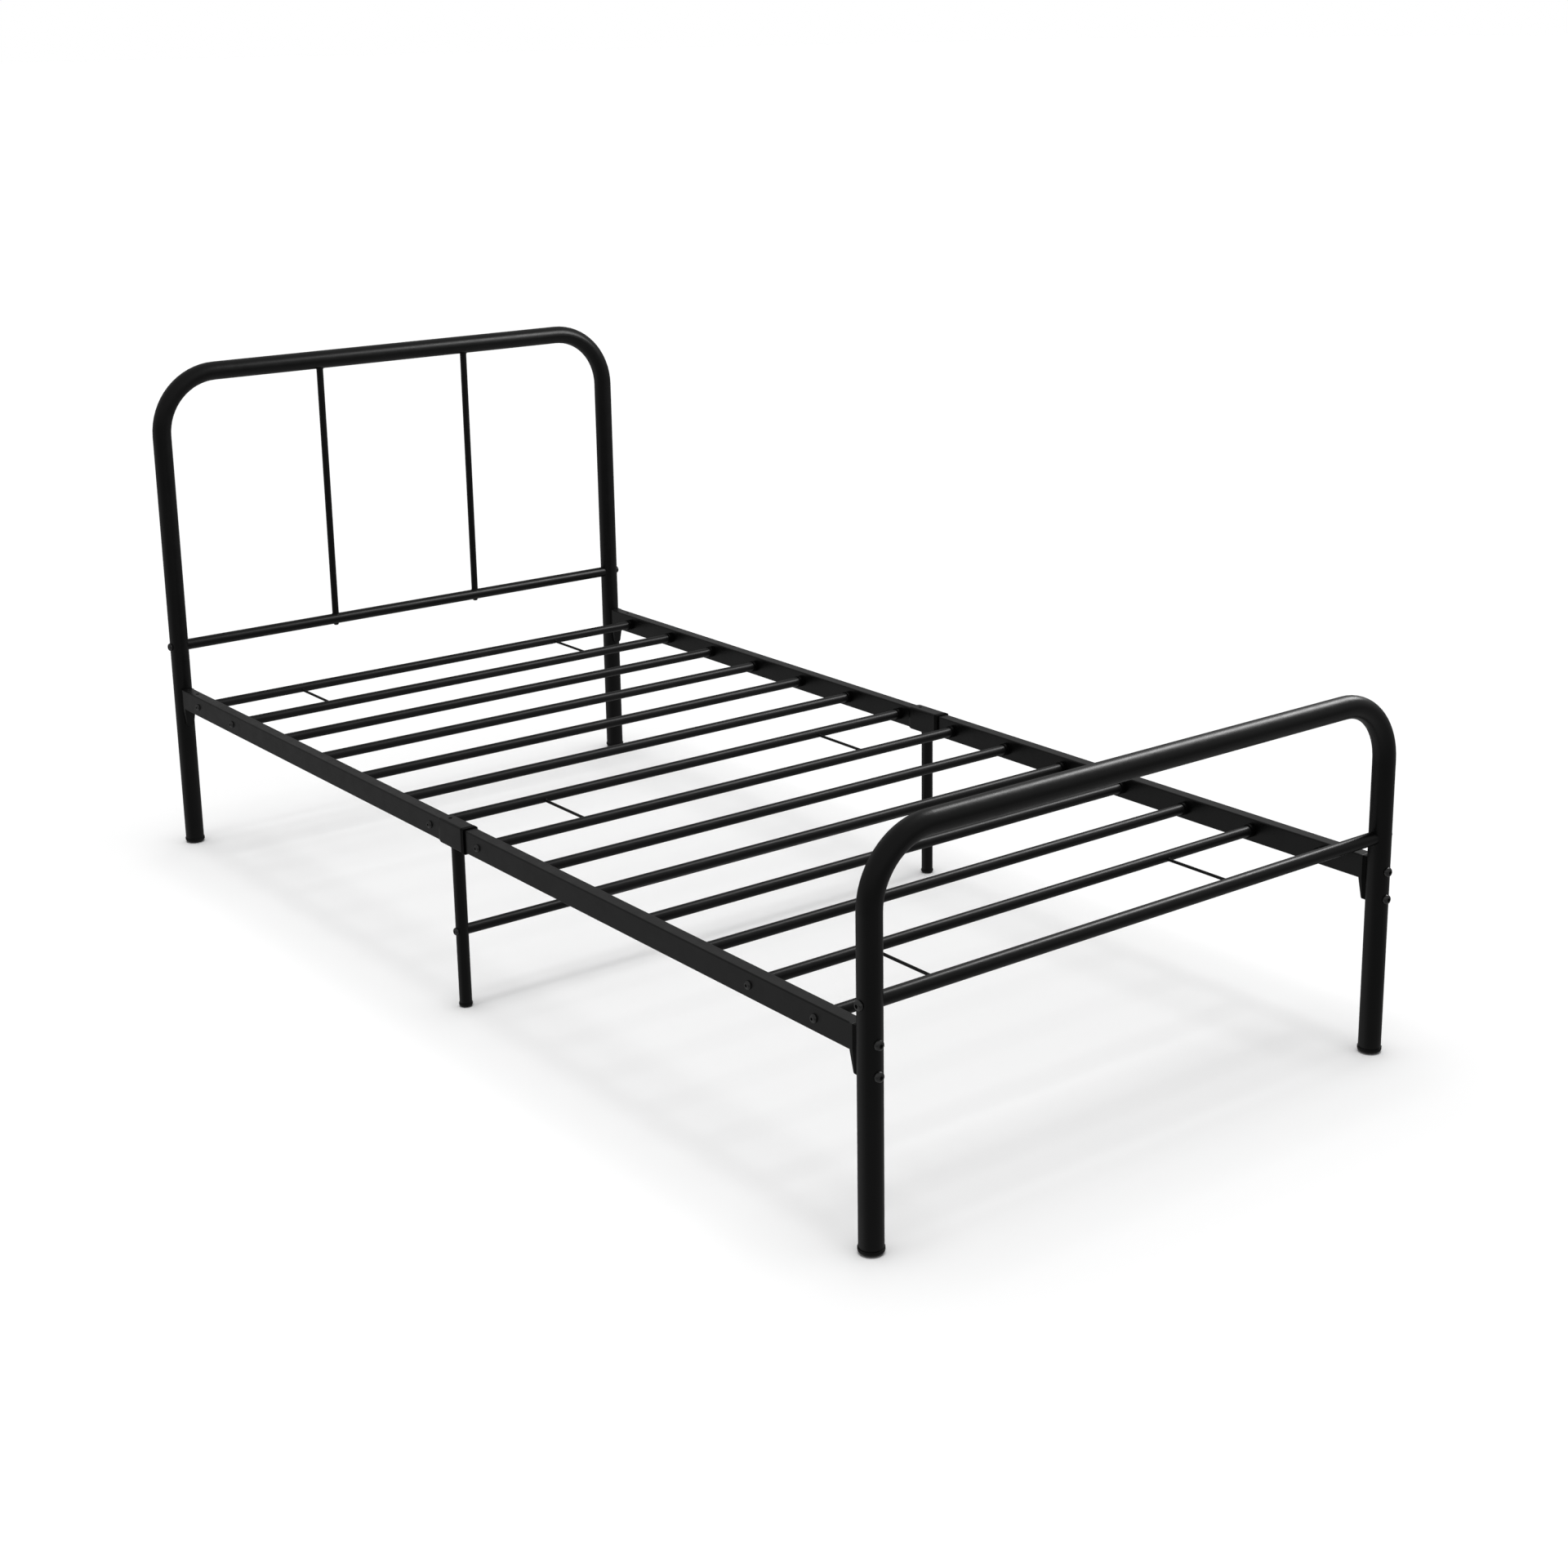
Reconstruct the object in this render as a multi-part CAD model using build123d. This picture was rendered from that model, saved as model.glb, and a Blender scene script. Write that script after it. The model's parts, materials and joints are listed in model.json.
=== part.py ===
"""Single bed frame in powder-coated steel tube, bolted together from flat-packed pieces.

Millimetres. +X runs from the headboard to the footboard, +Y to the right as seen from the foot,
+Z up. The origin is on the floor, under the middle of the frame.
"""
import os

from build123d import *

# Overall layout: the posts stand clear of a 900 x 1900 mattress
MATTRESS_LENGTH = 1900.0
POST_D = 32.0
POST_R = POST_D / 2
POST_X = (MATTRESS_LENGTH + POST_D) / 2
POST_Y = 456.0
HOOP_WALL = 1.5

# Headboard and footboard: one bent tube each, a crossbar, and two spindles at the head
HEAD_TOP_Z = 846.0
HEAD_BEND_R = 105.0
HEAD_CROSSBAR_Z = 366.0
FOOT_TOP_Z = 522.0
FOOT_BEND_R = 90.0
FOOT_CROSSBAR_Z = 321.0
CROSSBAR_R = 9.5
CROSSBAR_WALL = 1.2
SPINDLE_Y = 148.0
SPINDLE_R = 6.0
SPINDLE_PLUG = 6.0

# Side rails: rectangular tube in two halves that meet inside a sleeve over the centre legs
RAIL_WIDTH = 20.0
RAIL_HEIGHT = 35.0
RAIL_WALL = 1.5
RAIL_CORNER_R = 2.0
RAIL_TOP_Z = 290.0
RAIL_MID_Z = RAIL_TOP_Z - RAIL_HEIGHT / 2
RAIL_INNER_Y = POST_Y - RAIL_WIDTH / 2
RAIL_OUTER_Y = POST_Y + RAIL_WIDTH / 2
RAIL_MEET_X = 10.0
RAIL_END_GAP = 1.0
VENT_HOLE_R = 3.0
VENT_FROM_POST = 63.0

# Sleeve welded to the head half of each rail: a sloped shoulder, the sleeve, a plastic trim ring
SHOULDER_START_X = -28.0
SHOULDER_STEP = 0.3
SLEEVE_START_X = -22.0
SLEEVE_END_X = 40.0
TRIM_LENGTH = 8.0
TRIM_CLEARANCE = 0.1
TRIM_PROUD = 0.6
SLEEVE_WALL = 1.7
SLEEVE_CLEARANCE = 0.3
SLEEVE_GROWTH = 2 * (SLEEVE_WALL + SLEEVE_CLEARANCE)
SLEEVE_HOLE_X = -10.0

# End brackets: pans welded over the rail ends, with a solid tail below, on plastic saddle pads
PAD_THICKNESS = 4.0
PAD_WRAP = 3.0
PAD_EDGE_R = 0.8
BRACKET_DEPTH = 6.0
BRACKET_THICKNESS = 2.0
BRACKET_BEND_R = 1.0
BRACKET_TIP_Z = 223.0
BRACKET_TIP_WIDTH = 13.0
BRACKET_TIP_R = 5.0
BRACKET_TAIL_DEPTH = 2.4
TAIL_HOLE_DEPTH = 2.4
RAIL_BOLT_PITCH = 40.0

# Centre legs and the bar between them
LEG_X = 8.0
LEG_R = 9.5
LEG_WALL = 1.2
CENTRE_CROSSBAR_Z = 121.0
CENTRE_CROSSBAR_R = 8.0

# Slats: seven round tubes in each half, plugged into bushes in the rails
SLAT_R = 8.0
SLAT_WALL = 1.2
SLAT_END_Y = 454.0
SLATS_PER_HALF = 7
HEAD_SLAT_X = -880.0
HEAD_SLAT_PITCH = 137.5
FOOT_SLAT_X = 84.0
FOOT_SLAT_PITCH = 131.5
BOLTED_SLATS = (1, 2, 7, 8, 13, 14)
BUSH_COLLAR_R = 9.8
BUSH_COLLAR_LENGTH = 7.0
BUSH_NECK_R = 8.9
BUSH_BORE_R = 8.1
BUSH_HOLE_R = 9.0

# Wires welded between the slats of each bolted pair
TIE_WIRE_R = 2.25
TIE_WIRE_Y = 268.0
TIE_WIRE_DROP = 3.0

# Fasteners: (shank radius, head radius, head height, socket across flats, socket depth)
M8 = (3.9, 7.0, 4.4, 5.0, 2.6)
M6 = (2.9, 6.0, 3.9, 4.0, 2.1)
M5 = (2.4, 4.75, 2.75, 3.0, 1.6)
M8_HOLE_R = 4.2
M6_HOLE_R = 3.2
M5_HOLE_R = 2.6
UPPER_RAIL_BOLT_LENGTH = 45.0
LOWER_RAIL_BOLT_LENGTH = 38.0
CROSSBAR_BOLT_LENGTH = 45.0
CENTRE_BOLT_LENGTH = 32.0
SLAT_BOLT_LENGTH = 22.0
SPINDLE_SCREW_LENGTH = 36.0
HEX_NUT_FLATS = 13.0
HEX_NUT_HEIGHT = 6.3
INSERT_GAP = 0.1
CROSSBAR_INSERT_LENGTH = 16.0
CENTRE_INSERT_LENGTH = 14.0
SLAT_INSERT_LENGTH = 11.0

# Plastic end caps: a lip outside the tube, a hollow plug inside it
CAP_LIP_Z = 8.0
CAP_LIP_R = 17.0
CAP_FLAT_R = 11.0
CAP_PLUG_LENGTH = 20.0
CAP_WALL = 2.5
LEG_CAP_LIP_Z = 6.0
LEG_CAP_LIP_R = 10.4
LEG_CAP_FLAT_R = 6.0
LEG_CAP_PLUG_LENGTH = 14.0
LEG_CAP_WALL = 1.8

SIDES = {"left": -1, "right": 1}
ENDS = {"head": -1, "foot": 1}


def rod(start, direction, length, radius):
    """Solid cylinder from a start point."""
    align = (Align.CENTER, Align.CENTER, Align.MIN)
    return Plane(origin=start, z_dir=direction) * Cylinder(radius, length, align=align)


def tube(start, direction, length, radius, wall):
    return rod(start, direction, length, radius) - rod(start, direction, length, radius - wall)


def rail_section(x, y, growth, corner_r):
    """Rounded rectangle across a rail, centred on the rail's height; growth widens it all round."""
    plane = Plane(origin=(x, y, RAIL_MID_Z), x_dir=(0, 1, 0), z_dir=(1, 0, 0))
    return plane * RectangleRounded(RAIL_WIDTH + growth, RAIL_HEIGHT + growth, corner_r)


def rail_tube(x_start, x_end, y, growth, wall):
    """Rectangular tube along X with rounded corners."""
    outer = rail_section(x_start, y, growth, RAIL_CORNER_R + growth / 4)
    inner = rail_section(x_start, y, growth - 2 * wall, RAIL_CORNER_R / 4 + growth / 4)
    return extrude(outer - inner, amount=x_end - x_start)


def button_screw(seat, inward, length, size):
    """Button-head socket screw: seat is the point under its head, inward the way the shank goes."""
    shank_r, head_r, head_height, flats, depth = size
    rim = head_height / 5
    crown_r = head_r / 2
    outline = Polyline((shank_r, 0), (head_r, 0), (head_r, rim))
    outline += ThreePointArc((head_r, rim), (head_r * 0.84, head_height * 0.72), (crown_r, head_height))
    outline += Polyline((crown_r, head_height), (0, head_height), (0, -length))
    outline += Polyline((0, -length), (shank_r - 0.6, -length), (shank_r, 0.6 - length), (shank_r, 0))
    screw = revolve(Plane.XZ * make_face(outline), Axis.Z)
    screw -= Pos(0, 0, head_height - depth) * extrude(
        RegularPolygon(flats / 2, 6, major_radius=False), amount=depth)
    outward = tuple(-component for component in inward)
    return Plane(origin=seat, z_dir=outward) * screw


def insert_nut(mouth, inward, length, radius, bore):
    """Round threaded plug pressed into the end of a tube."""
    return rod(mouth, inward, length, radius) - rod(mouth, inward, length, bore)


def hoop(x, top_z, bend_r, crossbar_z):
    """Bent tube that is both posts and the top rail, with its bolt holes."""
    corners = [(x, -POST_Y, CAP_LIP_Z), (x, -POST_Y, top_z), (x, POST_Y, top_z), (x, POST_Y, CAP_LIP_Z)]
    section = Plane(origin=corners[0]) * (Circle(POST_R) - Circle(POST_R - HOOP_WALL))
    bent = sweep(section, path=FilletPolyline(*corners, radius=bend_r))
    across_posts = 2 * POST_Y + 3 * POST_D
    bent -= rod((x, -across_posts / 2, crossbar_z), (0, 1, 0), across_posts, M8_HOLE_R)
    for side in SIDES.values():
        for z in (RAIL_MID_Z, RAIL_MID_Z - RAIL_BOLT_PITCH):
            bent -= rod((x - POST_D, side * POST_Y, z), (1, 0, 0), 2 * POST_D, M8_HOLE_R)
    return bent


def headboard_hoop():
    bent = hoop(-POST_X, HEAD_TOP_Z, HEAD_BEND_R, HEAD_CROSSBAR_Z)
    for side in SIDES.values():
        start = (-POST_X, side * SPINDLE_Y, HEAD_TOP_Z - POST_D)
        bent -= rod(start, (0, 0, 1), POST_D, SPINDLE_R + INSERT_GAP)
    return bent


def coped_tube(x, z, radius, wall, upright_r):
    """Straight tube across the bed, its ends shaped to the two uprights it meets."""
    bar = tube((x, -POST_Y, z), (0, 1, 0), 2 * POST_Y, radius, wall)
    for side in SIDES.values():
        bar -= rod((x, side * POST_Y, z - POST_D), (0, 0, 1), 2 * POST_D, upright_r)
    return bar


def crossbar(x, z):
    return coped_tube(x, z, CROSSBAR_R, CROSSBAR_WALL, POST_R)


def headboard_crossbar():
    bar = crossbar(-POST_X, HEAD_CROSSBAR_Z)
    for side in SIDES.values():
        start = (-POST_X, side * SPINDLE_Y, HEAD_CROSSBAR_Z - POST_R)
        bar -= rod(start, (0, 0, 1), POST_D, M5_HOLE_R)
    return bar


def spindle(side):
    """Upright rod: saddled over the crossbar, plugged into the top tube, tapped from below."""
    y = side * SPINDLE_Y
    top = HEAD_TOP_Z - POST_R + SPINDLE_PLUG
    bar = rod((-POST_X, y, HEAD_CROSSBAR_Z), (0, 0, 1), top - HEAD_CROSSBAR_Z, SPINDLE_R)
    bar -= rod((-POST_X, y - POST_R, HEAD_CROSSBAR_Z), (0, 1, 0), POST_D, CROSSBAR_R)
    tapped = SPINDLE_SCREW_LENGTH - CROSSBAR_R + 2
    return bar - rod((-POST_X, y, HEAD_CROSSBAR_Z), (0, 0, 1), tapped, M5_HOLE_R)


def slat_x(number):
    """Centre of a slat, numbered from the head."""
    if number <= SLATS_PER_HALF:
        return HEAD_SLAT_X + (number - 1) * HEAD_SLAT_PITCH
    return FOOT_SLAT_X + (number - SLATS_PER_HALF - 1) * FOOT_SLAT_PITCH


def slats_in_half(end):
    if end < 0:
        return range(1, SLATS_PER_HALF + 1)
    return range(SLATS_PER_HALF + 1, 2 * SLATS_PER_HALF + 1)


def rail_end_x():
    """Distance of a rail's outer end from the middle of the frame."""
    return POST_X - POST_R - PAD_THICKNESS - BRACKET_DEPTH


def side_rail(end, side):
    """Half of a side rail, with its slat holes inside and its bolt holes outside."""
    y = side * POST_Y
    if end < 0:
        rail = rail_tube(-rail_end_x(), RAIL_MEET_X, y, 0, RAIL_WALL)
        vent = (VENT_FROM_POST - POST_X, y, RAIL_MID_Z)
        rail -= rod(vent, (0, 0, 1), RAIL_HEIGHT, VENT_HOLE_R)
    else:
        rail = rail_tube(RAIL_MEET_X + RAIL_END_GAP, rail_end_x(), y, 0, RAIL_WALL)
    for number in slats_in_half(end):
        inner = (slat_x(number), side * (RAIL_INNER_Y - RAIL_WALL), RAIL_MID_Z)
        rail -= rod(inner, (0, side, 0), 3 * RAIL_WALL, BUSH_HOLE_R)
        if number in BOLTED_SLATS:
            rail -= rod((slat_x(number), y, RAIL_MID_Z), (0, side, 0), RAIL_WIDTH, M6_HOLE_R)
    return rail


def bracket_outline(start_x, length):
    """Block with a bracket's shape seen along the bed: as wide as the rail, and tapering below it."""
    half, tip = RAIL_WIDTH / 2, BRACKET_TIP_WIDTH / 2
    rail_bottom = RAIL_TOP_Z - RAIL_HEIGHT
    corners = [(half, RAIL_TOP_Z), (half, rail_bottom), (tip, BRACKET_TIP_Z)]
    outline = make_face(Polyline(*corners, *((-y, z) for y, z in reversed(corners)), close=True))
    outline = fillet(outline.vertices().group_by(Axis.Y)[0], BRACKET_TIP_R)
    plane = Plane(origin=(start_x, POST_Y, 0), x_dir=(0, 1, 0), z_dir=(1, 0, 0))
    return extrude(plane * outline, amount=length)


def drill_and_mirror(piece, end, side):
    """Drill a piece drawn at the right foot post for both rail bolts, then take it to its own post."""
    tail_hole_x = POST_X - POST_R - PAD_THICKNESS - TAIL_HOLE_DEPTH
    for start_x, z in ((POST_X - POST_D, RAIL_MID_Z), (tail_hole_x, RAIL_MID_Z - RAIL_BOLT_PITCH)):
        piece -= rod((start_x, POST_Y, z), (1, 0, 0), POST_D, M8_HOLE_R)
    if end < 0:
        piece = mirror(piece, Plane.YZ)
    if side < 0:
        piece = mirror(piece, Plane.XZ)
    return piece


def rail_bracket(end, side):
    """Pan over a rail's end, rounded where it meets its pad, with a tapering tail."""
    face_x = POST_X - POST_R - PAD_THICKNESS
    rail_bottom = RAIL_TOP_Z - RAIL_HEIGHT
    outline = Polyline(
        (face_x, RAIL_TOP_Z),
        (face_x - BRACKET_DEPTH, RAIL_TOP_Z),
        (face_x - BRACKET_DEPTH, rail_bottom),
        (face_x - BRACKET_TAIL_DEPTH, BRACKET_TIP_Z),
        (face_x, BRACKET_TIP_Z),
        close=True,
    )
    side_view = Plane(origin=(0, POST_Y, 0), x_dir=(1, 0, 0), z_dir=(0, -1, 0))
    pan = extrude(side_view * make_face(outline), amount=RAIL_WIDTH / 2, both=True)
    pan &= bracket_outline(face_x - BRACKET_DEPTH, BRACKET_DEPTH)
    pan = fillet(pan.faces().sort_by(Axis.X)[-1].edges(), BRACKET_BEND_R)
    pocket = Box(BRACKET_DEPTH, RAIL_WIDTH - 2 * BRACKET_THICKNESS, RAIL_HEIGHT - 2 * BRACKET_THICKNESS,
                 align=(Align.MAX, Align.CENTER, Align.CENTER))
    pan -= Pos(face_x - BRACKET_THICKNESS, POST_Y, RAIL_MID_Z) * pocket
    return drill_and_mirror(pan, end, side)


def bracket_pad(end, side):
    """Plastic saddle between a bracket and its round post, with the bracket's outline."""
    start_x = POST_X - POST_R - PAD_THICKNESS
    pad = bracket_outline(start_x, PAD_THICKNESS + PAD_WRAP)
    pad = fillet(pad.faces().sort_by(Axis.X)[0].edges(), PAD_EDGE_R)
    pad -= rod((POST_X, POST_Y, BRACKET_TIP_Z), (0, 0, 1), RAIL_TOP_Z, POST_R)
    return drill_and_mirror(pad, end, side)


def centre_sleeve(side):
    """Short rectangular tube that holds both halves of a rail, swaged down to it at the head end."""
    y = side * POST_Y
    corner_r = RAIL_CORNER_R + SLEEVE_GROWTH / 4
    narrow = rail_section(SHOULDER_START_X, y, 2 * (SLEEVE_CLEARANCE + SHOULDER_STEP), corner_r)
    wide = rail_section(SLEEVE_START_X, y, SLEEVE_GROWTH, corner_r)
    sleeve = loft([narrow, wide]) + extrude(wide, amount=SLEEVE_END_X - SLEEVE_START_X)
    bore = rail_section(SHOULDER_START_X, y, 2 * SLEEVE_CLEARANCE, RAIL_CORNER_R)
    sleeve -= extrude(bore, amount=SLEEVE_END_X - SHOULDER_START_X)
    return sleeve - rod((SLEEVE_HOLE_X, y, RAIL_MID_Z), (0, 0, 1), RAIL_HEIGHT, VENT_HOLE_R)


def sleeve_trim(side):
    """Plastic ring on the sleeve's open end: flush with its top, proud of its sides and underside."""
    y = side * POST_Y
    plane = Plane(origin=(SLEEVE_END_X, y, RAIL_MID_Z - TRIM_PROUD / 2), x_dir=(0, 1, 0), z_dir=(1, 0, 0))
    width = RAIL_WIDTH + SLEEVE_GROWTH + 2 * TRIM_PROUD
    height = RAIL_HEIGHT + SLEEVE_GROWTH + TRIM_PROUD
    ring = plane * RectangleRounded(width, height, RAIL_CORNER_R + SLEEVE_GROWTH / 4)
    ring -= rail_section(SLEEVE_END_X, y, 2 * TRIM_CLEARANCE, RAIL_CORNER_R)
    return extrude(ring, amount=TRIM_LENGTH)


def centre_leg(side):
    y = side * POST_Y
    top = RAIL_MID_Z - (RAIL_HEIGHT + SLEEVE_GROWTH) / 2
    leg = tube((LEG_X, y, LEG_CAP_LIP_Z), (0, 0, 1), top - LEG_CAP_LIP_Z, LEG_R, LEG_WALL)
    return leg - rod((LEG_X, y - POST_R, CENTRE_CROSSBAR_Z), (0, 1, 0), POST_D, M6_HOLE_R)


def centre_crossbar():
    return coped_tube(LEG_X, CENTRE_CROSSBAR_Z, CENTRE_CROSSBAR_R, SLAT_WALL, LEG_R)


def slat(number):
    return tube((slat_x(number), -SLAT_END_Y, RAIL_MID_Z), (0, 1, 0), 2 * SLAT_END_Y, SLAT_R, SLAT_WALL)


def tie_wire(first, side):
    """Wire between a slat and the next one, coped against both."""
    y = side * TIE_WIRE_Y
    start, end = slat_x(first), slat_x(first + 1)
    wire = rod((start, y, RAIL_MID_Z - TIE_WIRE_DROP), (1, 0, 0), end - start, TIE_WIRE_R)
    for x in (start, end):
        wire -= rod((x, y - POST_R, RAIL_MID_Z), (0, 1, 0), POST_D, SLAT_R)
    return wire


def bush(number, side):
    """Plastic socket for a slat's end: a collar inside the rail's face, a neck through its hole."""
    x = slat_x(number)
    collar_start = (x, side * (RAIL_INNER_Y - BUSH_COLLAR_LENGTH), RAIL_MID_Z)
    neck_length = SLAT_END_Y - RAIL_INNER_Y
    shape = rod(collar_start, (0, side, 0), BUSH_COLLAR_LENGTH, BUSH_COLLAR_R)
    shape += rod((x, side * RAIL_INNER_Y, RAIL_MID_Z), (0, side, 0), neck_length, BUSH_NECK_R)
    return shape - rod(collar_start, (0, side, 0), BUSH_COLLAR_LENGTH + neck_length, BUSH_BORE_R)


def end_cap(x, y, lip_z, lip_r, flat_r, plug_r, plug_length, wall):
    """Domed cap with a flat to stand on, and a hollow plug up inside the tube."""
    top = lip_z + plug_length
    outline = Polyline((0, 0), (flat_r, 0))
    outline += ThreePointArc((flat_r, 0), ((flat_r + 2.2 * lip_r) / 3.2, lip_z * 0.22), (lip_r, lip_z * 0.6))
    outline += Polyline((lip_r, lip_z * 0.6), (lip_r, lip_z), (plug_r, lip_z), (plug_r, top))
    outline += Polyline((plug_r, top), (plug_r - wall, top), (plug_r - wall, lip_z), (0, lip_z), (0, 0))
    return Pos(x, y, 0) * revolve(Plane.XZ * make_face(outline), Axis.Z)


def post_cap(end, side):
    plug_r = POST_R - HOOP_WALL - INSERT_GAP
    return end_cap(end * POST_X, side * POST_Y, CAP_LIP_Z, CAP_LIP_R, CAP_FLAT_R,
                   plug_r, CAP_PLUG_LENGTH, CAP_WALL)


def leg_cap(side):
    plug_r = LEG_R - LEG_WALL - INSERT_GAP
    return end_cap(LEG_X, side * POST_Y, LEG_CAP_LIP_Z, LEG_CAP_LIP_R, LEG_CAP_FLAT_R,
                   plug_r, LEG_CAP_PLUG_LENGTH, LEG_CAP_WALL)


def rail_bolts(z, length):
    """One bolt through each post along the bed, heads outside."""
    return [
        button_screw((end * (POST_X + POST_R), side * POST_Y, z), (-end, 0, 0), length, M8)
        for end in ENDS.values()
        for side in SIDES.values()
    ]


def rail_nuts():
    """Hex nuts welded inside the end brackets, for the upper bolts; the lower ones thread the tails."""
    nuts = []
    for end in ENDS.values():
        for side in SIDES.values():
            seat_x = POST_X - POST_R - PAD_THICKNESS - BRACKET_THICKNESS
            seat = (end * seat_x, side * POST_Y, RAIL_MID_Z)
            plane = Plane(origin=seat, x_dir=(0, 0, 1), z_dir=(-end, 0, 0))
            section = RegularPolygon(HEX_NUT_FLATS / 2, 6, major_radius=False) - Circle(M8_HOLE_R - 0.2)
            nuts.append(extrude(plane * section, amount=HEX_NUT_HEIGHT))
    return nuts


def crossbar_ends():
    """The four places where a crossbar meets a post: (x, z, side)."""
    return [
        (x, z, side)
        for x, z in ((-POST_X, HEAD_CROSSBAR_Z), (POST_X, FOOT_CROSSBAR_Z))
        for side in SIDES.values()
    ]


def crossbar_bolts():
    return [
        button_screw((x, side * (POST_Y + POST_R), z), (0, -side, 0), CROSSBAR_BOLT_LENGTH, M8)
        for x, z, side in crossbar_ends()
    ]


def crossbar_inserts():
    radius = CROSSBAR_R - CROSSBAR_WALL - INSERT_GAP
    return [
        insert_nut((x, side * (POST_Y - POST_R), z), (0, -side, 0), CROSSBAR_INSERT_LENGTH,
                   radius, M8_HOLE_R - 0.2)
        for x, z, side in crossbar_ends()
    ]


def centre_bolts():
    return [
        button_screw((LEG_X, side * (POST_Y + LEG_R), CENTRE_CROSSBAR_Z), (0, -side, 0),
                     CENTRE_BOLT_LENGTH, M6)
        for side in SIDES.values()
    ]


def centre_inserts():
    radius = CENTRE_CROSSBAR_R - SLAT_WALL - INSERT_GAP
    return [
        insert_nut((LEG_X, side * (POST_Y - LEG_R), CENTRE_CROSSBAR_Z), (0, -side, 0),
                   CENTRE_INSERT_LENGTH, radius, M6_HOLE_R - 0.2)
        for side in SIDES.values()
    ]


def slat_bolts():
    return [
        button_screw((slat_x(number), side * RAIL_OUTER_Y, RAIL_MID_Z), (0, -side, 0),
                     SLAT_BOLT_LENGTH, M6)
        for number in BOLTED_SLATS
        for side in SIDES.values()
    ]


def slat_inserts():
    radius = SLAT_R - SLAT_WALL - INSERT_GAP
    return [
        insert_nut((slat_x(number), side * SLAT_END_Y, RAIL_MID_Z), (0, -side, 0),
                   SLAT_INSERT_LENGTH, radius, M6_HOLE_R - 0.2)
        for number in BOLTED_SLATS
        for side in SIDES.values()
    ]


def spindle_screws():
    return [
        button_screw((-POST_X, side * SPINDLE_Y, HEAD_CROSSBAR_Z - CROSSBAR_R), (0, 0, 1),
                     SPINDLE_SCREW_LENGTH, M5)
        for side in SIDES.values()
    ]


def bracket_pads():
    return [bracket_pad(end, side) for end in ENDS.values() for side in SIDES.values()]


def slat_bushes():
    return [bush(number, side) for number in range(1, 2 * SLATS_PER_HALF + 1) for side in SIDES.values()]


def all_parts():
    """Every node of the frame by name; a list is a group of identical loose pieces."""
    parts = {
        "headboard_hoop": headboard_hoop(),
        "headboard_crossbar": headboard_crossbar(),
        "footboard_hoop": hoop(POST_X, FOOT_TOP_Z, FOOT_BEND_R, FOOT_CROSSBAR_Z),
        "footboard_crossbar": crossbar(POST_X, FOOT_CROSSBAR_Z),
        "centre_crossbar": centre_crossbar(),
        "slat_bushes": slat_bushes(),
        "slat_bolts": slat_bolts(),
        "slat_inserts": slat_inserts(),
        "bracket_pads": bracket_pads(),
        "rail_bolts_upper": rail_bolts(RAIL_MID_Z, UPPER_RAIL_BOLT_LENGTH),
        "rail_bolts_lower": rail_bolts(RAIL_MID_Z - RAIL_BOLT_PITCH, LOWER_RAIL_BOLT_LENGTH),
        "rail_nuts": rail_nuts(),
        "crossbar_bolts": crossbar_bolts(),
        "crossbar_inserts": crossbar_inserts(),
        "centre_bolts": centre_bolts(),
        "centre_inserts": centre_inserts(),
        "spindle_screws": spindle_screws(),
    }
    for side_name, side in SIDES.items():
        parts[f"spindle_{side_name}"] = spindle(side)
        parts[f"centre_sleeve_{side_name}"] = centre_sleeve(side)
        parts[f"centre_sleeve_trim_{side_name}"] = sleeve_trim(side)
        parts[f"centre_leg_{side_name}"] = centre_leg(side)
        parts[f"centre_leg_cap_{side_name}"] = leg_cap(side)
        for end_name, end in ENDS.items():
            parts[f"side_rail_{end_name}_{side_name}"] = side_rail(end, side)
            parts[f"rail_bracket_{end_name}_{side_name}"] = rail_bracket(end, side)
            parts[f"post_cap_{end_name}_{side_name}"] = post_cap(end, side)
        for place, first in (("head", 1), ("centre", 7), ("foot", 13)):
            parts[f"tie_wire_{place}_{side_name}"] = tie_wire(first, side)
    for number in range(1, 2 * SLATS_PER_HALF + 1):
        parts[f"slat_{number:02d}"] = slat(number)
    return parts


os.makedirs("parts", exist_ok=True)
for name, shape in all_parts().items():
    if isinstance(shape, list):
        shape = Compound(children=shape)
    export_step(shape, f"parts/{name}.step")
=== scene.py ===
import json
import math

import bmesh
import bpy
from mathutils import Matrix, Vector


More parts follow.
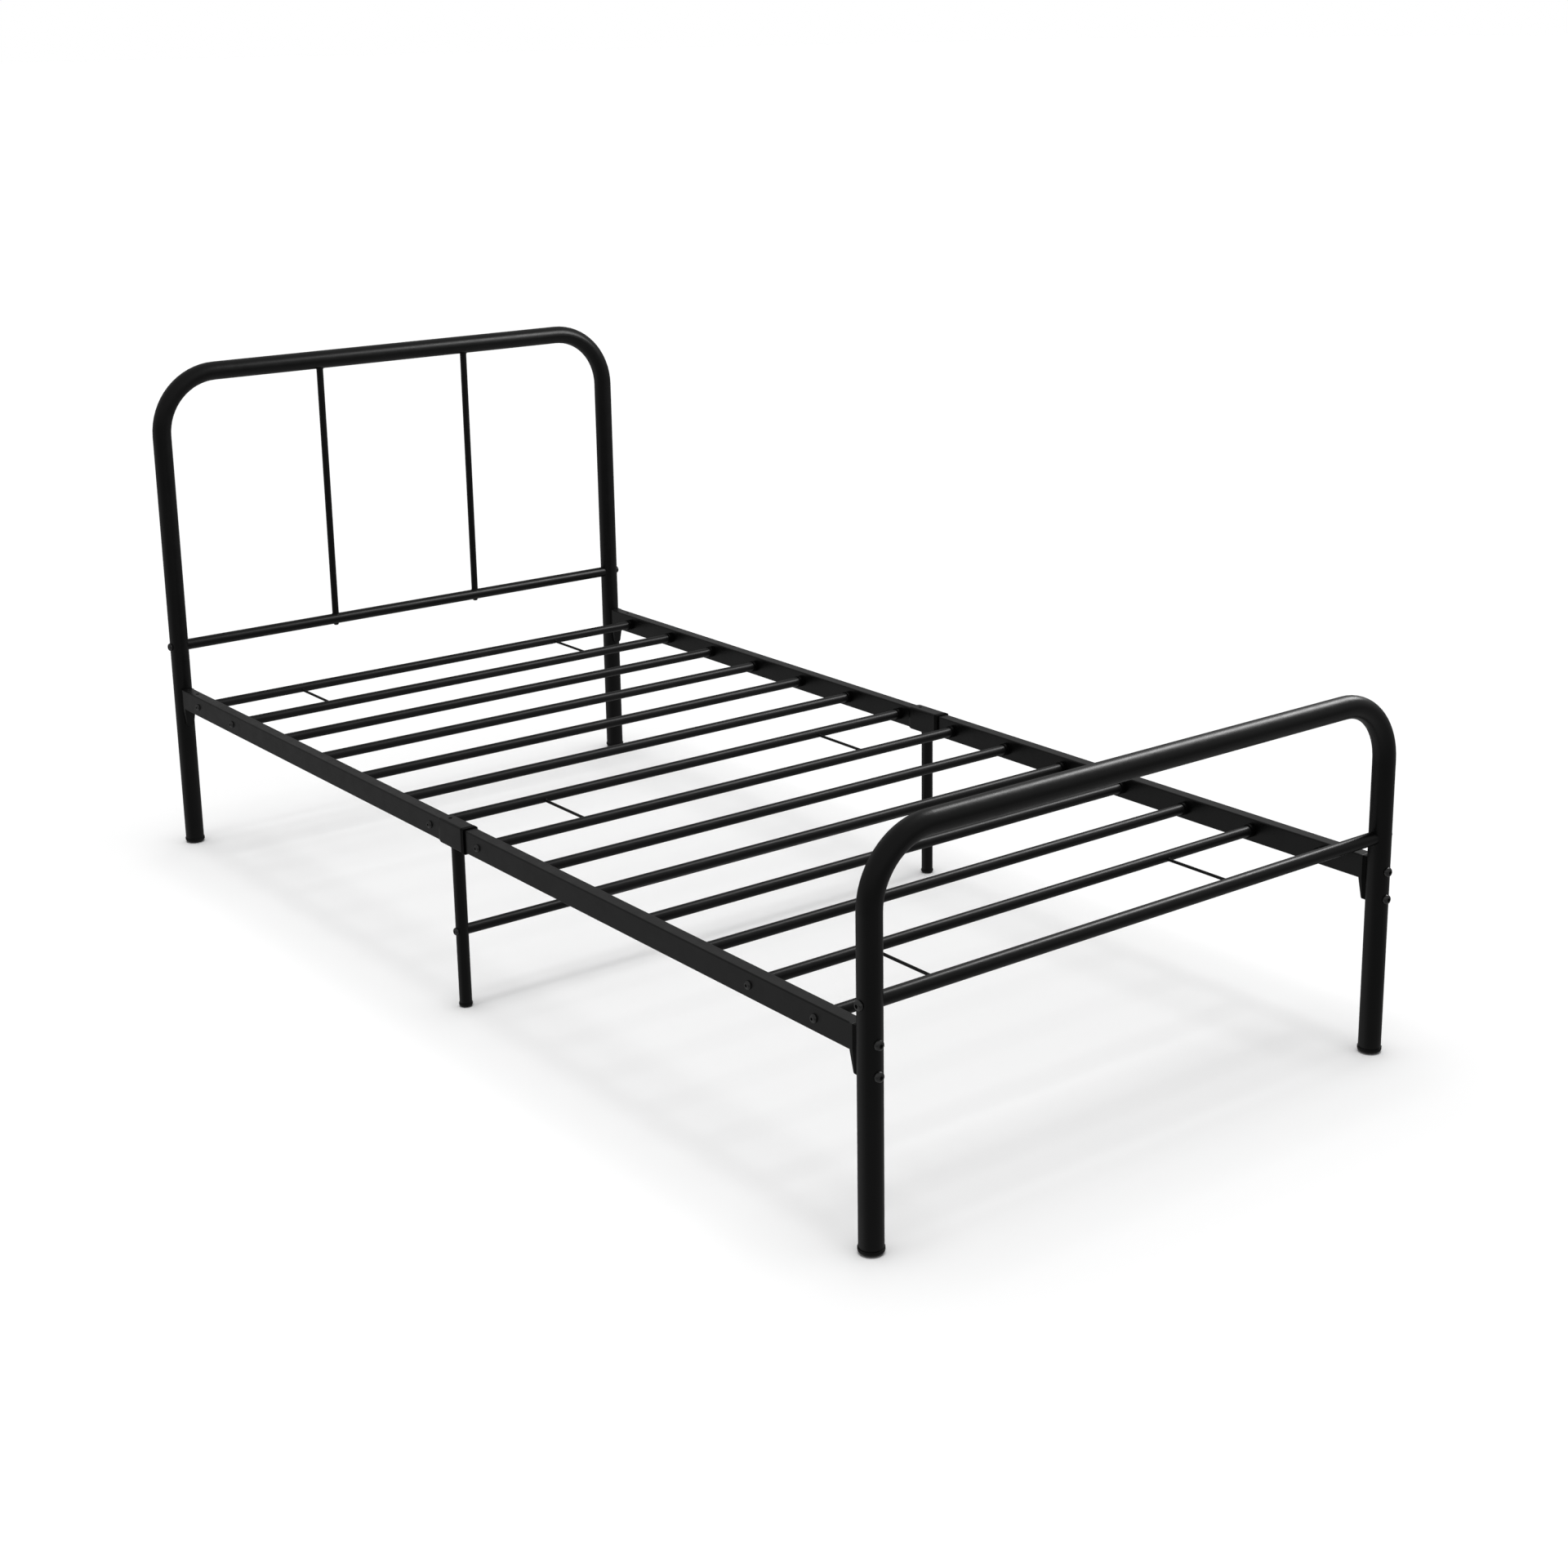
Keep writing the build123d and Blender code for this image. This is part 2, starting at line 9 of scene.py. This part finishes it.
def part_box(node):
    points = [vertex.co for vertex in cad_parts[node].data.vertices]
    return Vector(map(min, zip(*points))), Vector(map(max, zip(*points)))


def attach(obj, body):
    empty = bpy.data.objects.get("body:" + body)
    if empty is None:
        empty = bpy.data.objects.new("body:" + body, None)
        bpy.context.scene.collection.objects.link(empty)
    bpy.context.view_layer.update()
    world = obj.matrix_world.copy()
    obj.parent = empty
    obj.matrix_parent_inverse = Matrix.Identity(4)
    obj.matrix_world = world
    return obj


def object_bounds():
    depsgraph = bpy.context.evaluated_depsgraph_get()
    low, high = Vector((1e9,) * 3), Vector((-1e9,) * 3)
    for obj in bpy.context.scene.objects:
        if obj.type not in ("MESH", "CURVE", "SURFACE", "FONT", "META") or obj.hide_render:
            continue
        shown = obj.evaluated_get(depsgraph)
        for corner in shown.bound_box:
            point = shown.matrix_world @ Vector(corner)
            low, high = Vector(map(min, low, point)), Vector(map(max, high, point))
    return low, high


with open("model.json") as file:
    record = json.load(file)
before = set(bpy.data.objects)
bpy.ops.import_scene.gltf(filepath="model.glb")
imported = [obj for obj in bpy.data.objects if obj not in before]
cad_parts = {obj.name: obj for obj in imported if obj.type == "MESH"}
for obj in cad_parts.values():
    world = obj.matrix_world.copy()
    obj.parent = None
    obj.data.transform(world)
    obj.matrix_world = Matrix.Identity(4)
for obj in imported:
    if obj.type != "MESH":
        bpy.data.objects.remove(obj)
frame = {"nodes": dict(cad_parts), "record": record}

CAD_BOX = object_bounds()
NODES = frame["nodes"]
SLOT_OF = {part["node"]: part["material_slot"] for part in frame["record"]["subparts"]}
SIDES = ("left", "right")

# Camera, in metres and degrees
CAMERA_AT = (2.9602, -2.0850, 1.4198)
CAMERA_YAW, CAMERA_PITCH, CAMERA_ROLL = 142.830, -14.899, -0.893
CAMERA_LENS, CAMERA_SENSOR = 54.851, 36.0
CAMERA_SHIFT_Y = -0.0802
CAMERA_NEAR, CAMERA_FAR = 0.05, 400.0

# Brightness of the surroundings as the object sees them: at each height from straight down (-1) to
# straight up (1), and a soft patch of light that the floor sends back from below the near side
SKY_LEVELS = ((-1.0, 0.38), (-0.4, 0.22), (0.0, 0.17), (0.3, 0.36), (1.0, 0.36))
BOUNCE_FROM, BOUNCE_FALLOFF, BOUNCE_LEVEL = (-0.50, -0.75, -0.45), 6.0, 0.26
BACKGROUND_LEVEL = 1.0

# Two lamps for the floor alone, straight above it: strength, and spread in degrees
FLOOR_DOME, DOME_SPREAD = 2.10, 50.0
FLOOR_KEY, KEY_SPREAD = 0.42, 12.0
FLOOR_LAMP_AT, FLOOR_LAMP_TOWARDS = (0.0, 0.0, 3.0), (0.0, 0.0, 0.0)
FLOOR_HALF = 120.0

# One softbox for the bed alone
SOFTBOX_POWER, SOFTBOX_SIZE = 44.0, (0.75, 1.5)
SOFTBOX_AT, SOFTBOX_TOWARDS = (0.50, 1.80, 2.05), (0.15, 0.50, 0.40)


def camera():
    yaw, pitch, roll = (math.radians(a) for a in (CAMERA_YAW, CAMERA_PITCH, CAMERA_ROLL))
    forward = Vector((math.cos(pitch) * math.cos(yaw), math.cos(pitch) * math.sin(yaw), math.sin(pitch)))
    side = forward.cross(Vector((0, 0, 1))).normalized()
    above = side.cross(forward)
    right = math.cos(roll) * side + math.sin(roll) * above
    up = math.cos(roll) * above - math.sin(roll) * side
    data = bpy.data.cameras.new("camera")
    data.lens = CAMERA_LENS
    data.sensor_width = CAMERA_SENSOR
    data.shift_y = CAMERA_SHIFT_Y
    data.clip_start, data.clip_end = CAMERA_NEAR, CAMERA_FAR
    shot = bpy.data.objects.new("camera", data)
    bpy.context.scene.collection.objects.link(shot)
    shot.matrix_world = Matrix.Translation(CAMERA_AT) @ Matrix((right, up, -forward)).transposed().to_4x4()
    bpy.context.scene.camera = shot


# ---------------------------------------------------------------- materials

# Bands of a noise's values that are spread over a range: most of them, or fewer for more contrast
MOST, MIDDLE = (0.3, 0.7), (0.35, 0.65)

# Powder coat: noise scales per metre, bump heights and edge width in metres
COAT_MOTTLE, COAT_STREAK, COAT_WEAR, COAT_PEEL, COAT_GRAIN = 9.0, 55.0, 240.0, 620.0, 2600.0
COAT_PEEL_HEIGHT, COAT_GRAIN_HEIGHT = 0.00012, 0.00002
COAT_EDGE, COAT_EDGE_GREY = 0.0012, 0.013

# Fasteners and nuts, in the same units
OXIDE_MOTTLE, OXIDE_ROUGH, OXIDE_GRAIN, OXIDE_GRAIN_HEIGHT = 180.0, 900.0, 1500.0, 0.00003
OXIDE_EDGE, OXIDE_EDGE_GREY = 0.0005, 0.20
ZINC_SPANGLE, ZINC_ROUGH, ZINC_GRAIN, ZINC_GRAIN_HEIGHT = 300.0, 1200.0, 2200.0, 0.00002

# Plastics and floor
PLASTIC_MOTTLE, PLASTIC_ROUGH, PLASTIC_GRAIN_HEIGHT, PLASTIC_EDGE = 40.0, 700.0, 0.00005, 0.0008
FLOOR_MOTTLE, FLOOR_ROUGH, FLOOR_GRAIN, FLOOR_GRAIN_HEIGHT = 0.8, 30.0, 400.0, 0.00002


class Nodes:
    """A node tree, with a short call that adds a node and fills or links its inputs."""

    def __init__(self, tree):
        self.tree = tree

    def add(self, kind, inputs=(), **settings):
        node = self.tree.nodes.new(kind)
        for key, value in settings.items():
            setattr(node, key, value)
        for socket, value in dict(inputs).items():
            if isinstance(value, bpy.types.NodeSocket):
                self.tree.links.new(value, node.inputs[socket])
            else:
                node.inputs[socket].default_value = value
        return node


class Finish(Nodes):
    """A material on a Principled shader, with the patterns used here."""

    def __init__(self, name):
        self.material = bpy.data.materials.new(name)
        self.material.use_nodes = True
        super().__init__(self.material.node_tree)
        self.shader = self.tree.nodes["Principled BSDF"]
        self.place = self.add("ShaderNodeTexCoord").outputs["Object"]

    def combine(self, operation, a, b):
        return self.add("ShaderNodeMath", {0: a, 1: b}, operation=operation).outputs[0]

    def remap(self, value, low, high, to_low=0.0, to_high=1.0):
        inputs = {"Value": value, "From Min": low, "From Max": high, "To Min": to_low, "To Max": to_high}
        return self.add("ShaderNodeMapRange", inputs).outputs["Result"]

    def noise(self, scale, detail=2.0, roughness=0.5):
        inputs = {"Vector": self.place, "Scale": scale, "Detail": detail, "Roughness": roughness}
        return self.add("ShaderNodeTexNoise", inputs).outputs["Fac"]

    def patches(self, scale, low=0.0, high=1.0, detail=2.0, band=MOST):
        """Noise with one band of its values spread from low to high."""
        return self.remap(self.noise(scale, detail), *band, low, high)

    def mix(self, factor, a, b):
        return self.add("ShaderNodeMix", {0: factor, 6: a, 7: b}, data_type="RGBA").outputs[2]

    def edges(self, width, low, high):
        """Up to 1 within a width of an edge, 0 on flats."""
        rounded = self.add("ShaderNodeBevel", {"Radius": width}, samples=4).outputs["Normal"]
        flat = self.add("ShaderNodeNewGeometry").outputs["Normal"]
        along = self.add("ShaderNodeVectorMath", {0: rounded, 1: flat}, operation="DOT_PRODUCT")
        return self.remap(along.outputs["Value"], high, low)

    def bump(self, pattern, height, strength, normal=None):
        inputs = {"Height": pattern, "Distance": height, "Strength": strength}
        if normal is not None:
            inputs["Normal"] = normal
        return self.add("ShaderNodeBump", inputs).outputs["Normal"]

    def done(self, colour, roughness, normal, **uniform):
        for socket, value in (("Base Color", colour), ("Roughness", roughness), ("Normal", normal)):
            self.tree.links.new(value, self.shader.inputs[socket])
        for socket, value in uniform.items():
            self.shader.inputs[socket.replace("_", " ")].default_value = value
        return self.material


def grey(value, blue=1.0):
    return (value, value, value * blue, 1.0)


def powder_coat(name, dark, light, specular):
    """Satin black powder coat: orange peel, faint mottling, a thinner and brighter film on edges."""
    n = Finish(name)
    colour = n.mix(n.patches(COAT_MOTTLE, detail=3.0), grey(dark), grey(light, 1.03))
    patchy = n.patches(COAT_WEAR, 0.35, 1.0, band=MIDDLE)
    wear = n.combine("MULTIPLY", n.edges(COAT_EDGE, 0.80, 0.985), patchy)
    colour = n.mix(wear, colour, grey(COAT_EDGE_GREY))
    peel = n.noise(COAT_PEEL, roughness=0.45)
    grain = n.noise(COAT_GRAIN, detail=1.0)
    streaks = n.patches(COAT_STREAK, 0.31, 0.37, band=MIDDLE)
    roughness = n.combine("ADD", streaks, n.remap(grain, *MOST, -0.02, 0.03))
    normal = n.bump(peel, COAT_PEEL_HEIGHT, 0.5)
    normal = n.bump(grain, COAT_GRAIN_HEIGHT, 0.4, normal)
    return n.done(colour, roughness, normal, Specular_IOR_Level=specular)


def black_oxide(name):
    """Waxed black oxide on small screws, brighter on rubbed edges."""
    n = Finish(name)
    colour = n.mix(n.patches(OXIDE_MOTTLE, detail=3.0), grey(0.060), grey(0.090))
    colour = n.mix(n.edges(OXIDE_EDGE, 0.80, 0.98), colour, grey(OXIDE_EDGE_GREY))
    normal = n.bump(n.noise(OXIDE_GRAIN), OXIDE_GRAIN_HEIGHT, 0.5)
    return n.done(colour, n.patches(OXIDE_ROUGH, 0.19, 0.28), normal, Metallic=0.8)


def zinc_plate(name):
    n = Finish(name)
    colour = n.mix(n.patches(ZINC_SPANGLE, detail=3.0), (0.50, 0.50, 0.47, 1.0), (0.62, 0.63, 0.62, 1.0))
    normal = n.bump(n.noise(ZINC_GRAIN), ZINC_GRAIN_HEIGHT, 0.5)
    return n.done(colour, n.patches(ZINC_ROUGH, 0.28, 0.42), normal, Metallic=0.9)


def moulded_plastic(name, dark, light, grain, specular):
    """Matt plastic with a fine moulded grain, paler on its edges."""
    n = Finish(name)
    colour = n.mix(n.patches(PLASTIC_MOTTLE, detail=3.0), grey(dark), grey(light))
    colour = n.mix(n.edges(PLASTIC_EDGE, 0.80, 0.98), colour, grey(light * 2.0))
    normal = n.bump(n.noise(grain), PLASTIC_GRAIN_HEIGHT, 0.6)
    return n.done(colour, n.patches(PLASTIC_ROUGH, 0.50, 0.62), normal, Specular_IOR_Level=specular)


def pale_floor(name):
    n = Finish(name)
    colour = n.mix(n.patches(FLOOR_MOTTLE), grey(0.90), grey(0.91))
    normal = n.bump(n.noise(FLOOR_GRAIN), FLOOR_GRAIN_HEIGHT, 0.2)
    return n.done(colour, n.patches(FLOOR_ROUGH, 0.90, 0.95), normal, Specular_IOR_Level=0.0)


MATERIALS = {
    "frame_coating": powder_coat("frame_coating", 0.0030, 0.0048, 0.30),
    # The slat coat's base colour is paler than the frame coat's: painted light that lifts the slats' shaded
    # undersides.
    "slat_coating": powder_coat("slat_coating", 0.0110, 0.0150, 0.17),
    "black_fasteners": black_oxide("black_fasteners"),
    "zinc_nuts": zinc_plate("zinc_nuts"),
    "black_plastic_caps": moulded_plastic("black_plastic_caps", 0.0035, 0.0055, 1100.0, 0.25),
    "black_plastic_bushes": moulded_plastic("black_plastic_bushes", 0.0022, 0.0034, 1400.0, 0.08),
}


def finish_nodes():
    for name, node in NODES.items():
        for slot in node.material_slots:
            slot.material = MATERIALS[SLOT_OF[name]]


# ---------------------------------------------------------------- weld beads

# Radius of the beads in metres, corners round a bead's section, and sections along each kind of bead
BEAD_RADIUS, WIRE_BEAD_RADIUS = 0.0011, 0.0007
BEAD_CORNERS = 8
SPINDLE_SECTIONS, LEG_SECTIONS, WIRE_SECTIONS = 32, 40, 16

# Ripples along a bead: share of its radius, turn per section, start
BEAD_RIPPLES = ((0.10, 2.4, 0.0), (0.06, 5.3, 1.0))

# A direction that no bead runs along, to square its sections with
BEAD_GUIDE = Vector((0.31, 0.17, 0.93))


def ring_angles(count):
    return [2.0 * math.pi * k / count for k in range(count)]


def bead(name, path, radius):
    """Weld bead round a closed path of points: a rippled round strand with its own coat of powder."""
    shape = bmesh.new()
    rings = []
    for index, point in enumerate(path):
        along = (path[(index + 1) % len(path)] - path[index - 1]).normalized()
        side = along.cross(BEAD_GUIDE).normalized()
        rise = side.cross(along)
        ripple = sum(share * math.sin(index * turn + start) for share, turn, start in BEAD_RIPPLES)
        swell = radius * (1.0 + ripple)
        offsets = [swell * (math.cos(a) * side + math.sin(a) * rise) for a in ring_angles(BEAD_CORNERS)]
        rings.append([shape.verts.new(point + offset) for offset in offsets])
    for index, low in enumerate(rings):
        high = rings[(index + 1) % len(rings)]
        for k in range(BEAD_CORNERS):
            next_k = (k + 1) % BEAD_CORNERS
            shape.faces.new((low[k], low[next_k], high[next_k], high[k]))
    bmesh.ops.recalc_face_normals(shape, faces=shape.faces)
    for face in shape.faces:
        face.smooth = True
    mesh = bpy.data.meshes.new(name)
    shape.to_mesh(mesh)
    shape.free()
    mesh.materials.append(MATERIALS["frame_coating"])
    piece = bpy.data.objects.new(name, mesh)
    bpy.context.scene.collection.objects.link(piece)
    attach(piece, "root")


def middle_and_radius(box, axis):
    """The middle of a node's box, and half its size along an axis, which is a round tube's radius."""
    low, high = box
    return (low + high) / 2.0, (high[axis] - low[axis]) / 2.0


def saddle(centre, radius, tube_z, tube_r, way):
    """Where an upright meets a tube that runs across the bed, on top of it (way 1) or under it (-1)."""
    path = []
    for angle in ring_angles(SPINDLE_SECTIONS):
        offset = radius * math.cos(angle)
        rise = math.sqrt(max(tube_r ** 2 - offset ** 2, 0.0))
        path.append(Vector((centre.x + offset, centre.y + radius * math.sin(angle), tube_z + way * rise)))
    return path


def weld_spindles():
    hoop_r = middle_and_radius(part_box("headboard_hoop"), 0)[1]
    hoop_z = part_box("headboard_hoop")[1].z - hoop_r
    bar, bar_r = middle_and_radius(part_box("headboard_crossbar"), 2)
    for side in SIDES:
        centre, radius = middle_and_radius(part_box("spindle_" + side), 0)
        bead("weld_spindle_top_" + side, saddle(centre, radius, hoop_z, hoop_r, -1), BEAD_RADIUS)
        bead("weld_spindle_foot_" + side, saddle(centre, radius, bar.z, bar_r, 1), BEAD_RADIUS)


def weld_legs():
    for side in SIDES:
        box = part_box("centre_leg_" + side)
        centre, radius = middle_and_radius(box, 0)
        path = [Vector((centre.x + radius * math.cos(a), centre.y + radius * math.sin(a), box[1].z))
                for a in ring_angles(LEG_SECTIONS)]
        bead("weld_leg_" + side, path, BEAD_RADIUS)


def weld_wires():
    """A bead round each end of each tie wire, on the slat it meets."""
    slats = [middle_and_radius(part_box(name), 0) for name in sorted(NODES)
             if name[:5] == "slat_" and name[5:].isdigit()]
    for place in ("head", "centre", "foot"):
        for side in SIDES:
            wire = place + "_" + side
            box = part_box("tie_wire_" + wire)
            centre, radius = middle_and_radius(box, 2)
            for end, end_x, way in (("start", box[0].x, 1), ("end", box[1].x, -1)):
                slat, slat_r = min(slats, key=lambda each: abs(each[0].x - end_x))
                path = []
                for angle in ring_angles(WIRE_SECTIONS):
                    y = centre.y + radius * math.cos(angle)
                    z = centre.z + radius * math.sin(angle)
                    reach = math.sqrt(slat_r ** 2 - (z - slat.z) ** 2)
                    path.append(Vector((slat.x + way * reach, y, z)))
                bead("weld_wire_" + wire + "_" + end, path, WIRE_BEAD_RADIUS)


# ---------------------------------------------------------------- stage

def floor():
    """White floor that the bed neither mirrors nor takes light from: the sky does both."""
    mesh = bpy.data.meshes.new("floor")
    shape = bmesh.new()
    bmesh.ops.create_grid(shape, x_segments=4, y_segments=4, size=FLOOR_HALF)
    shape.to_mesh(mesh)
    shape.free()
    ground = bpy.data.objects.new("floor", mesh)
    bpy.context.scene.collection.objects.link(ground)
    ground.location.z = CAD_BOX[0].z
    mesh.materials.append(pale_floor("floor"))
    ground.visible_diffuse = False
    ground.visible_glossy = False
    return ground


def light(name, kind, strength, at, towards, ground, lights_floor):
    """A lamp for the floor alone, or for the bed alone."""
    data = bpy.data.lights.new(name, kind)
    data.energy = strength
    lamp = bpy.data.objects.new(name, data)
    bpy.context.scene.collection.objects.link(lamp)
    lamp.location = at
    lamp.rotation_euler = (Vector(towards) - Vector(at)).to_track_quat("-Z", "Y").to_euler()
    lamp.visible_camera = False
    receivers = bpy.data.collections.new(name + "_receivers")
    receivers.objects.link(ground)
    lamp.light_linking.receiver_collection = receivers
    state = "INCLUDE" if lights_floor else "EXCLUDE"
    receivers.collection_objects[0].light_linking.link_state = state
    return data


def sky():
    """White behind the object; dimmer where it lights and is mirrored in the steel."""
    world = bpy.data.worlds.new("studio")
    bpy.context.scene.world = world
    world.use_nodes = True
    n = Nodes(world.node_tree)
    towards = n.add("ShaderNodeTexCoord").outputs["Generated"]
    height = n.add("ShaderNodeSeparateXYZ", {0: towards}).outputs["Z"]
    place = n.add("ShaderNodeMapRange", {"Value": height, "From Min": -1.0}).outputs["Result"]
    ramp = n.add("ShaderNodeValToRGB", {"Fac": place})
    stops = ramp.color_ramp.elements
    for index, (elevation, level) in enumerate(SKY_LEVELS):
        stop = stops[index] if index < 2 else stops.new(1.0)
        stop.position = (elevation + 1.0) / 2.0
        stop.color = grey(level)
    lobe = n.add("ShaderNodeVectorMath", {0: towards, 1: Vector(BOUNCE_FROM).normalized()},
                 operation="DOT_PRODUCT").outputs["Value"]
    lobe = n.add("ShaderNodeMath", {0: lobe, 1: 0.0}, operation="MAXIMUM").outputs[0]
    lobe = n.add("ShaderNodeMath", {0: lobe, 1: BOUNCE_FALLOFF}, operation="POWER").outputs[0]
    total = n.add("ShaderNodeMath", {0: lobe, 1: BOUNCE_LEVEL, 2: ramp.outputs["Color"]},
                  operation="MULTIPLY_ADD").outputs[0]
    seen = n.add("ShaderNodeLightPath").outputs["Is Camera Ray"]
    strength = n.add("ShaderNodeMix", {0: seen, 2: total, 3: BACKGROUND_LEVEL}, data_type="FLOAT").outputs[0]
    background = world.node_tree.nodes["Background"]
    background.inputs["Color"].default_value = grey(1.0)
    world.node_tree.links.new(strength, background.inputs["Strength"])


def stage():
    view = bpy.context.scene.view_settings
    view.view_transform = "Standard"
    view.look = "None"
    ground = floor()
    sky()
    dome = light("floor_dome", "SUN", FLOOR_DOME, FLOOR_LAMP_AT, FLOOR_LAMP_TOWARDS, ground, True)
    dome.angle = math.radians(DOME_SPREAD)
    key = light("floor_key", "SUN", FLOOR_KEY, FLOOR_LAMP_AT, FLOOR_LAMP_TOWARDS, ground, True)
    key.angle = math.radians(KEY_SPREAD)
    softbox = light("softbox_right", "AREA", SOFTBOX_POWER, SOFTBOX_AT, SOFTBOX_TOWARDS, ground, False)
    softbox.shape = "RECTANGLE"
    softbox.size, softbox.size_y = SOFTBOX_SIZE


camera()
finish_nodes()
weld_spindles()
weld_legs()
weld_wires()
stage()
